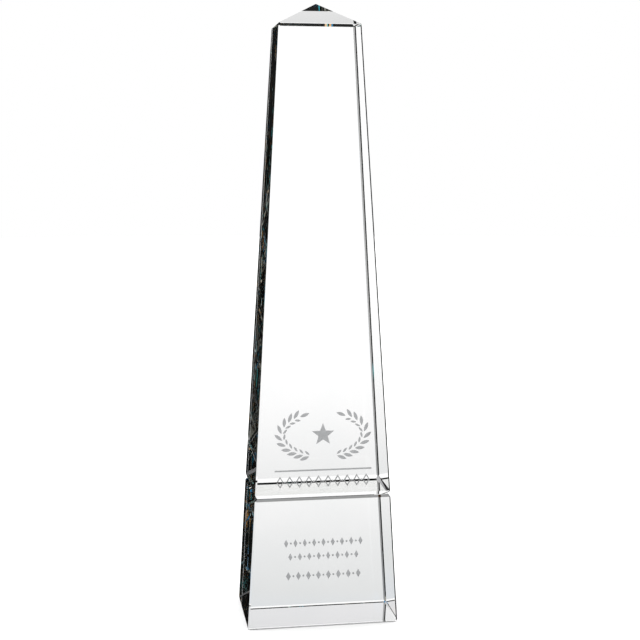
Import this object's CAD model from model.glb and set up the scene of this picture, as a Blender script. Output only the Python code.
import math

import bmesh
import bpy
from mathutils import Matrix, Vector


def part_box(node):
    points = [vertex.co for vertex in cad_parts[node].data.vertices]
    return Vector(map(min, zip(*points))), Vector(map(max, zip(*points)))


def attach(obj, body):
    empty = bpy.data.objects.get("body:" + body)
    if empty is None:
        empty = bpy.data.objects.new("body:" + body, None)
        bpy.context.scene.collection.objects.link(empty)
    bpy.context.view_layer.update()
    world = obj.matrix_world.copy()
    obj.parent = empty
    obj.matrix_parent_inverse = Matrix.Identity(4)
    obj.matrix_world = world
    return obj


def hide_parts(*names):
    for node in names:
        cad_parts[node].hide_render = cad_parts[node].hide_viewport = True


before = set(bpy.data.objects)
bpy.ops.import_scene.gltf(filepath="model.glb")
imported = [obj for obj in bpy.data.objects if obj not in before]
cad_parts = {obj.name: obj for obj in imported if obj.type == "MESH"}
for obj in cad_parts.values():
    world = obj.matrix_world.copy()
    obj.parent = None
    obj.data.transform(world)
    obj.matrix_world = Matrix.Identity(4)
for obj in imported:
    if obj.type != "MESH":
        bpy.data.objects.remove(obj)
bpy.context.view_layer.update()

MM = 0.001

# The camera stands in front, a little to the left and below the tip, and looks slightly down.
EYE = Vector((-81.8, -521.1, 190.5)) * MM
CAMERA_AZIMUTH = math.radians(-9.11)
CAMERA_ELEVATION = math.radians(-6.905)
LENS_MM = 70.68
SENSOR_MM = 36

# The crystal.
CRYSTAL_IOR = 1.517
FACET_TOLERANCE = math.radians(0.05)
WELD = 0.002 * MM
ON_PLANE = 0.01 * MM
ETCH_DEPTHS = (0.05 * MM, 0.31 * MM)
# How nearly a facet's normal must agree with a direction to count as facing it, or as square to it.
FACING = 0.95
ETCH_FLOOR = 0.99
ETCH_WALL = 0.05

# The floor, and the card that stands for the table under the foot, with its light after few bounces and
# after more.
FLOOR_RADIUS = 3.0
FLOOR_SIDES = 96
FLOOR_DROP = 0.4 * MM
CARD_DROP = 0.15 * MM
CARD_INSET = 1.0 * MM
CARD_LIGHT = 1.1
CARD_DEEP_LIGHT = 0.03

scene = bpy.context.scene


def link(obj):
    scene.collection.objects.link(obj)
    return obj


class Nodes:
    """Short calls for building one node tree."""

    def __init__(self, tree):
        self.tree = tree
        tree.nodes.clear()

    def add(self, kind, inputs=None, **settings):
        node = self.tree.nodes.new(kind)
        for key, value in settings.items():
            setattr(node, key, value)
        for key, value in (inputs or {}).items():
            if isinstance(value, bpy.types.NodeSocket):
                self.tree.links.new(value, node.inputs[key])
            else:
                node.inputs[key].default_value = value
        return node

    def math(self, operation, first, second=0.0):
        return self.add("ShaderNodeMath", {0: first, 1: second}, operation=operation).outputs[0]

    def step(self, value, low, high, start=0.0, end=1.0):
        """A smooth step of value: start below low, end above high."""
        inputs = {"Value": value, "From Min": low, "From Max": high, "To Min": start, "To Max": end}
        return self.add("ShaderNodeMapRange", inputs, interpolation_type="SMOOTHSTEP").outputs[0]

    def ramp(self, value, stops):
        """A colour ramp from (place, colour) stops, with places from 0 to 1."""
        ramp = self.add("ShaderNodeValToRGB", {0: value})
        points = ramp.color_ramp.elements
        while len(points) < len(stops):
            points.new(0.5)
        for point, (place, colour) in zip(points, stops):
            point.position = place
            point.color = (*colour, 1)
        return ramp.outputs[0]

    def mix(self, share, first, second):
        return self.add("ShaderNodeMixShader", {0: share, 1: first, 2: second}).outputs[0]

    def surface(self, shader):
        self.add("ShaderNodeOutputMaterial", {"Surface": shader})


def new_material(name):
    material = bpy.data.materials.new(name)
    material.use_nodes = True
    return material, Nodes(material.node_tree)


def noise(nodes, scale, detail=2.0):
    place = nodes.add("ShaderNodeTexCoord").outputs["Object"]
    return nodes.add("ShaderNodeTexNoise", {"Vector": place, "Scale": scale, "Detail": detail}).outputs[0]


def bump(nodes, height, distance, strength=1.0):
    inputs = {"Height": height, "Distance": distance, "Strength": strength}
    return nodes.add("ShaderNodeBump", inputs).outputs[0]


def polished_face():
    """The broad faces and the small facets: clear, with a faint unevenness left by the polishing wheel."""
    material, nodes = new_material("polished_face")
    cloud = noise(nodes, 38.0)
    colour = nodes.ramp(cloud, [(0.35, (0.965, 0.972, 0.972)), (0.62, (1.0, 1.0, 1.0))])
    shader = nodes.add("ShaderNodeBsdfPrincipled", {
        "Base Color": colour,
        "Roughness": 0.0,
        "IOR": CRYSTAL_IOR,
        "Transmission Weight": 1.0,
        "Normal": bump(nodes, noise(nodes, 60.0, 0.0), 0.002 * MM),
    })
    nodes.surface(shader.outputs[0])
    return material


def polished_side():
    """The narrow sides and the underside, whose polish is a little less even."""
    material, nodes = new_material("polished_side")
    cloud = noise(nodes, 90.0)
    colour = nodes.ramp(cloud, [(0.3, (0.93, 0.95, 0.94)), (0.65, (1.0, 1.0, 1.0))])
    shader = nodes.add("ShaderNodeBsdfPrincipled", {
        "Base Color": colour,
        "Roughness": 0.0,
        "IOR": CRYSTAL_IOR,
        "Transmission Weight": 1.0,
        "Normal": bump(nodes, noise(nodes, 110.0, 1.0), 0.003 * MM),
    })
    nodes.surface(shader.outputs[0])
    return material


def frosted():
    """The sandblasted floors and walls of the etched emblem."""
    material, nodes = new_material("frosted_etch")
    grain = noise(nodes, 2600.0, 3.0)
    colour = nodes.ramp(grain, [(0.3, (0.14, 0.144, 0.148)), (0.7, (0.29, 0.294, 0.30))])
    shader = nodes.add("ShaderNodeBsdfPrincipled", {
        "Base Color": colour,
        "Roughness": nodes.step(grain, 0.3, 0.7, 0.38, 0.52),
        "IOR": CRYSTAL_IOR,
        "Transmission Weight": 1.0,
        "Normal": bump(nodes, grain, 0.03 * MM, 0.6),
    })
    nodes.surface(shader.outputs[0])
    return material


def bonded():
    """A face wetted by the adhesive, which has the crystal's own index, so light goes straight through."""
    material, nodes = new_material("bonded_face")
    colour = nodes.ramp(noise(nodes, 120.0), [(0.3, (0.97, 0.975, 0.97)), (0.7, (1.0, 1.0, 1.0))])
    nodes.surface(nodes.add("ShaderNodeBsdfTransparent", {"Color": colour}).outputs[0])
    return material


def adhesive():
    """The cured film, almost clear and faintly warm."""
    material, nodes = new_material("cured_adhesive")
    colour = nodes.ramp(noise(nodes, 200.0), [(0.3, (0.96, 0.955, 0.94)), (0.7, (0.995, 0.995, 0.99))])
    nodes.surface(nodes.add("ShaderNodeBsdfTransparent", {"Color": colour}).outputs[0])
    return material


POLISHED, SIDE, FROSTED, BONDED = range(4)


def facet_kind(face, front_point, front_normal, bond_height):
    centre = face.calc_center_median()
    depth = -(centre - front_point).dot(front_normal)
    lean = abs(face.normal.dot(front_normal))
    in_etch = ETCH_DEPTHS[0] < depth < ETCH_DEPTHS[1] and (lean > ETCH_FLOOR or lean < ETCH_WALL)
    if abs(centre.z - bond_height) < ON_PLANE and abs(face.normal.z) > FACING:
        return BONDED
    if in_etch:
        return FROSTED
    if abs(face.normal.x) > FACING or face.normal.z < -FACING:
        return SIDE
    return POLISHED


def front_plane(mesh):
    """A point on the front face and its normal, from the largest face that looks towards -Y."""
    forward = [face for face in mesh.faces if face.normal.y < -FACING]
    largest = max(forward, key=lambda face: face.calc_area())
    return largest.verts[0].co.copy(), largest.normal.copy()


def extend_to_bond(mesh, from_height, to_height):
    """Slides the bonded face's corners along the notch's flanks up to the adhesive."""
    places = {}
    for vert in mesh.verts:
        if abs(vert.co.z - from_height) < ON_PLANE:
            others = [edge.other_vert(vert) for edge in vert.link_edges]
            away = max(others, key=lambda other: abs(other.co.z - from_height))
            slope = vert.co - away.co
            places[vert] = vert.co + slope * (to_height - from_height) / slope.z
    for vert, place in places.items():
        vert.co = place


def crystal_block(node, name, from_height, to_height, materials):
    """A copy of a CAD block with clean facets, whose bonded face reaches the adhesive."""
    mesh = bmesh.new()
    mesh.from_mesh(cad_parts[node].data)
    bmesh.ops.remove_doubles(mesh, verts=mesh.verts, dist=WELD)
    bmesh.ops.dissolve_limit(mesh, angle_limit=FACET_TOLERANCE, verts=mesh.verts, edges=mesh.edges)
    extend_to_bond(mesh, from_height, to_height)
    mesh.normal_update()
    front = front_plane(mesh)
    for face in mesh.faces:
        face.material_index = facet_kind(face, *front, to_height)
    data = bpy.data.meshes.new(name)
    mesh.to_mesh(data)
    mesh.free()
    # Welding spoils the imported corner normals, and every facet is flat.
    data.attributes.remove(data.attributes["custom_normal"])
    data.shade_flat()
    for material in materials:
        data.materials.append(material)
    piece = link(bpy.data.objects.new(name, data))
    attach(piece, "root")
    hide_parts(node)
    return piece


def build_award():
    materials = [polished_face(), polished_side(), frosted(), bonded()]
    film_low, film_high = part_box("bond_film")
    shaft_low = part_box("obelisk_shaft")[0].z
    plinth_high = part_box("plinth_block")[1].z
    crystal_block("obelisk_shaft", "crystal_shaft", shaft_low, film_high.z, materials)
    crystal_block("plinth_block", "crystal_plinth", plinth_high, film_low.z, materials)
    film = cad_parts["bond_film"]
    film.data.materials.clear()
    film.data.materials.append(adhesive())


def add_floor():
    mesh = bmesh.new()
    bmesh.ops.create_circle(mesh, cap_ends=True, segments=FLOOR_SIDES, radius=FLOOR_RADIUS)
    data = bpy.data.meshes.new("floor")
    mesh.to_mesh(data)
    mesh.free()
    floor = link(bpy.data.objects.new("floor", data))
    floor.location.z = -FLOOR_DROP
    floor.visible_glossy = False
    floor.visible_transmission = False
    material, nodes = new_material("pale_floor")
    colour = nodes.ramp(noise(nodes, 6.0), [(0.3, (0.90, 0.90, 0.90)), (0.7, (0.92, 0.92, 0.92))])
    shader = nodes.add("ShaderNodeBsdfDiffuse", {"Color": colour})
    nodes.surface(shader.outputs[0])
    data.materials.append(material)


def add_shade_card():
    """The table under the foot, seen only through the crystal. It looks dark after a few bounces."""
    low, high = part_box("plinth_block")
    corners = [
        (low.x + CARD_INSET, low.y + CARD_INSET, -CARD_DROP),
        (high.x - CARD_INSET, low.y + CARD_INSET, -CARD_DROP),
        (high.x - CARD_INSET, high.y - CARD_INSET, -CARD_DROP),
        (low.x + CARD_INSET, high.y - CARD_INSET, -CARD_DROP),
    ]
    data = bpy.data.meshes.new("shade_card")
    data.from_pydata(corners, [], [(0, 1, 2, 3)])
    card = link(bpy.data.objects.new("shade_card", data))
    card.visible_camera = False
    card.visible_diffuse = False
    card.visible_shadow = False
    material, nodes = new_material("shade_card")
    colour = nodes.ramp(noise(nodes, 40.0), [(0.3, (0.60, 0.61, 0.63)), (0.7, (0.80, 0.81, 0.83))])
    bounces = nodes.add("ShaderNodeLightPath").outputs["Ray Depth"]
    deep = nodes.math("GREATER_THAN", bounces, TURNED_BOUNCES - 0.5)
    level = nodes.step(deep, 0.0, 1.0, CARD_LIGHT, CARD_DEEP_LIGHT)
    nodes.surface(nodes.add("ShaderNodeEmission", {"Color": colour, "Strength": level}).outputs[0])
    data.materials.append(material)


# The studio as the crystal sees it, by elevation in degrees: a white backdrop that falls off towards the
# table and the ceiling.
STUDIO_BY_ELEVATION = (
    (-90, (0.20, 0.20, 0.20)),
    (-60, (0.26, 0.26, 0.26)),
    (-40, (0.35, 0.35, 0.35)),
    (-35, (0.38, 0.38, 0.38)),
    (-30, (0.95, 0.95, 0.95)),
    (-26.5, (1.12, 1.13, 1.14)),
    (-23, (0.84, 0.86, 0.88)),
    (-20.5, (0.78, 0.81, 0.84)),
    (-19, (0.83, 0.84, 0.84)),
    (-16, (0.97, 0.97, 0.97)),
    (-12, (1.12, 1.12, 1.12)),
    (10, (1.15, 1.15, 1.15)),
    (15, (1.05, 1.05, 1.05)),
    (20, (0.85, 0.85, 0.86)),
    (30, (0.50, 0.50, 0.51)),
    (60, (0.18, 0.18, 0.19)),
    (90, (0.12, 0.12, 0.13)),
)
RAMP_TOP = 1.2
# Dark flags beside the backdrop: the azimuths, in degrees, between which each one fades in and out, and
# the light that it still gives.
FLAGS = (
    (-21.5, -19.6, -17.5, -15.6, 0.02),
    (-34, -31, -22.8, -20.6, 0.5),
)
# The room beside and behind the camera is dark to light that has turned round inside the crystal. Its edges
# are Y components of the light's direction. Steeper than ROOM_RISES, light may bounce once more.
TURNED_BOUNCES = 3
SIDE_FLAGS = ((-116, -108, -92, -84, 0.03),)
ROOM_STARTS, ROOM_FULL = -0.80, -0.92
ROOM_LIGHT = 0.01
ROOM_RISES = 0.2
# Light that has bounced often inside the crystal is mostly lost, and what is left is split into colours. The
# scales are those of the noises for its tones, streaks, hues and glints.
MOST_CLEAR_BOUNCES = 4
DEEP_TONE_SCALE = 3.5
DEEP_STREAK_SCALE = 70.0
DEEP_GLINT_SCALE = 50.0
DEEP_STRETCH = (1.0, 1.0, 0.4)
DEEP_TONES = (
    (0.49, (0.0, 0.0, 0.0)),
    (0.54, (0.010, 0.013, 0.010)),
    (0.60, (0.12, 0.12, 0.105)),
    (0.68, (0.45, 0.45, 0.40)),
)
DEEP_SEED = 33.3
DEEP_HUE_SCALE = 20.0
DEEP_HUES = (
    (0.38, (0.05, 0.30, 0.60)),
    (0.46, (0.08, 0.62, 0.62)),
    (0.54, (0.8, 0.8, 0.75)),
    (0.60, (0.85, 0.45, 0.15)),
)
# Where a streak or a glint fades in over its noise, and its strength before and after.
DEEP_STREAK = (0.40, 0.60, 0.10, 2.0)
DEEP_GLINT = (0.64, 0.70, 0.0, 1.0)
# Mirrored light is what the outer faces reflect, floor light is what lights the table, and the backdrop is
# what the camera sees beside the crystal.
MIRRORED_LIGHT = 0.004
FLOOR_LIGHT = 1.85
BACKDROP_LIGHT = 1.0


def studio_light(nodes, direction, bounces):
    """What the crystal sees of the studio in each direction."""
    axes = nodes.add("ShaderNodeSeparateXYZ", {0: direction})
    azimuth = nodes.math("DEGREES", nodes.math("ARCTAN2", axes.outputs[0], axes.outputs[1]))
    elevation = nodes.math("DEGREES", nodes.math("ARCSINE", axes.outputs[2]))
    place = nodes.math("DIVIDE", nodes.math("ADD", elevation, 90), 180)
    stops = [((el + 90) / 180, [level / RAMP_TOP for level in colour]) for el, colour in STUDIO_BY_ELEVATION]

    def dimmed(light, flags):
        for start, full, leave, end, left_over in flags:
            before = nodes.step(azimuth, start, full, 1, left_over)
            after = nodes.step(azimuth, leave, end, left_over, 1)
            light = nodes.math("MULTIPLY", nodes.math("MAXIMUM", before, after), light)
        return light

    room = dimmed(nodes.step(axes.outputs[1], ROOM_FULL, ROOM_STARTS, ROOM_LIGHT, 1), SIDE_FLAGS)
    above = nodes.math("GREATER_THAN", axes.outputs[2], ROOM_RISES)
    straight = nodes.math("LESS_THAN", bounces, nodes.math("ADD", above, TURNED_BOUNCES - 0.5))
    light = nodes.math("MULTIPLY", nodes.math("MAXIMUM", room, straight), dimmed(RAMP_TOP, FLAGS))
    colour = nodes.ramp(place, stops)
    return nodes.add("ShaderNodeBackground", {"Color": colour, "Strength": light}).outputs[0]


def deep_light(nodes, direction):
    """What is left of the studio after many bounces inside the crystal: dark streaks and coloured glints."""
    stretched = {0: direction, 1: DEEP_STRETCH}
    place = nodes.add("ShaderNodeVectorMath", stretched, operation="MULTIPLY").outputs[0]

    def cloud(scale, detail):
        inputs = {"Vector": place, "Scale": scale, "Detail": detail, "W": DEEP_SEED}
        return nodes.add("ShaderNodeTexNoise", inputs, noise_dimensions="4D")

    tone = nodes.ramp(cloud(DEEP_TONE_SCALE, 1.0).outputs[0], DEEP_TONES)
    streak = nodes.step(cloud(DEEP_STREAK_SCALE, 2.0).outputs[0], *DEEP_STREAK)
    hue = nodes.ramp(cloud(DEEP_HUE_SCALE, 0.0).outputs[0], DEEP_HUES)
    glint = nodes.step(cloud(DEEP_GLINT_SCALE, 0.0).outputs[0], *DEEP_GLINT)
    dark = nodes.add("ShaderNodeBackground", {"Color": tone, "Strength": streak}).outputs[0]
    bright = nodes.add("ShaderNodeBackground", {"Color": hue, "Strength": glint}).outputs[0]
    return nodes.add("ShaderNodeAddShader", {0: dark, 1: bright}).outputs[0]


def plain_light(nodes, level):
    inputs = {"Color": (1, 1, 1, 1), "Strength": level}
    return nodes.add("ShaderNodeBackground", inputs).outputs[0]


def add_world():
    world = bpy.data.worlds.new("studio")
    scene.world = world
    world.use_nodes = True
    nodes = Nodes(world.node_tree)
    direction = nodes.add("ShaderNodeTexCoord").outputs["Generated"]
    path = nodes.add("ShaderNodeLightPath")
    # Ray Depth counts the background too. Each limit lies half way between two whole counts.
    bounces = nodes.math("SUBTRACT", path.outputs["Ray Depth"], 1)
    deep = nodes.math("GREATER_THAN", bounces, MOST_CLEAR_BOUNCES + 0.5)
    light = nodes.mix(deep, studio_light(nodes, direction, bounces), deep_light(nodes, direction))
    # A glossy ray after one bounce is the crystal's outer faces mirroring the room.
    first = nodes.math("LESS_THAN", bounces, 1.5)
    mirrored = nodes.math("MULTIPLY", path.outputs["Is Glossy Ray"], first)
    light = nodes.mix(mirrored, light, plain_light(nodes, MIRRORED_LIGHT))
    light = nodes.mix(path.outputs["Is Diffuse Ray"], light, plain_light(nodes, FLOOR_LIGHT))
    light = nodes.mix(path.outputs["Is Camera Ray"], light, plain_light(nodes, BACKDROP_LIGHT))
    nodes.add("ShaderNodeOutputWorld", {"Surface": light})


def add_camera():
    data = bpy.data.cameras.new("camera")
    data.lens = LENS_MM
    data.sensor_width = SENSOR_MM
    data.clip_start = 0.01
    data.clip_end = 20
    camera = link(bpy.data.objects.new("camera", data))
    camera.location = EYE
    camera.rotation_euler = (math.pi / 2 + CAMERA_ELEVATION, 0, CAMERA_AZIMUTH)
    scene.camera = camera


def set_up_light_paths():
    scene.view_settings.view_transform = "Standard"
    scene.cycles.max_bounces = 48
    scene.cycles.glossy_bounces = 40
    scene.cycles.transmission_bounces = 40
    scene.cycles.transparent_max_bounces = 64


build_award()
add_floor()
add_shade_card()
add_world()
add_camera()
set_up_light_paths()
